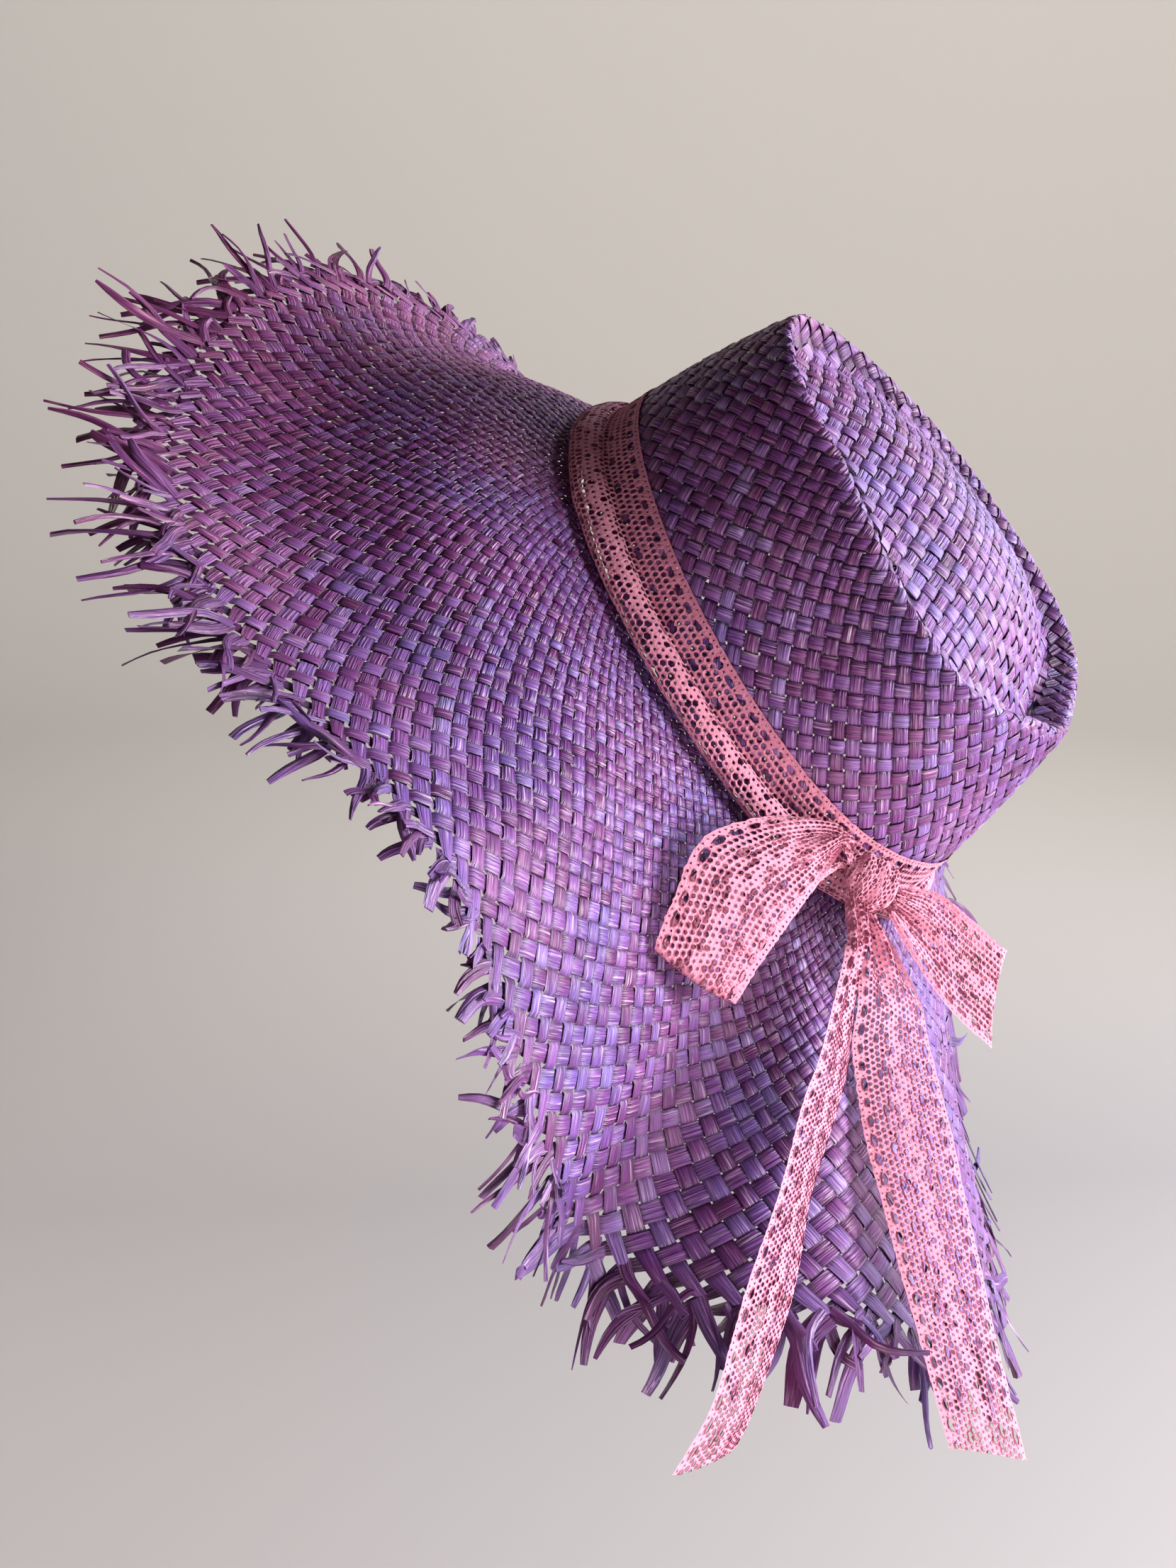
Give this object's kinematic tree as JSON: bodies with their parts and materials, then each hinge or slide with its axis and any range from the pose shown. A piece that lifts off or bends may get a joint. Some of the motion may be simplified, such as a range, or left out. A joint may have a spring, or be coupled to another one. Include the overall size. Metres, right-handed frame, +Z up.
{
  "type": "raffia sun hat",
  "caption": "Wide-brimmed woven raffia sun hat with a ridged crown, a frayed brim edge and a lace ribbon tied in a bow, held tilted back as on a head.",
  "frame": {"origin": "middle of the head opening, in the plane where the crown meets the brim, where the head holds the hat", "axes": "+Z up, +X to the wearer's left, -Y the way the wearer looks; the hat is tilted back 55 degrees about X"},
  "size_m": [0.4791, 0.3737, 0.4224],
  "materials": {
    "raffia": "violet dyed raffia in plain weave, semi-gloss fibres",
    "lace": "pink cotton bobbin lace, matt"
  },
  "bodies": {
    "root": {"crown": "raffia", "brim": "raffia", "brim_fringe": "raffia", "lace_band": "lace", "bow_knot": "lace", "bow_loop_left": "lace", "bow_loop_right": "lace", "ribbon_tail_left": "lace", "ribbon_tail_right": "lace"}
  },
  "joints": []
}
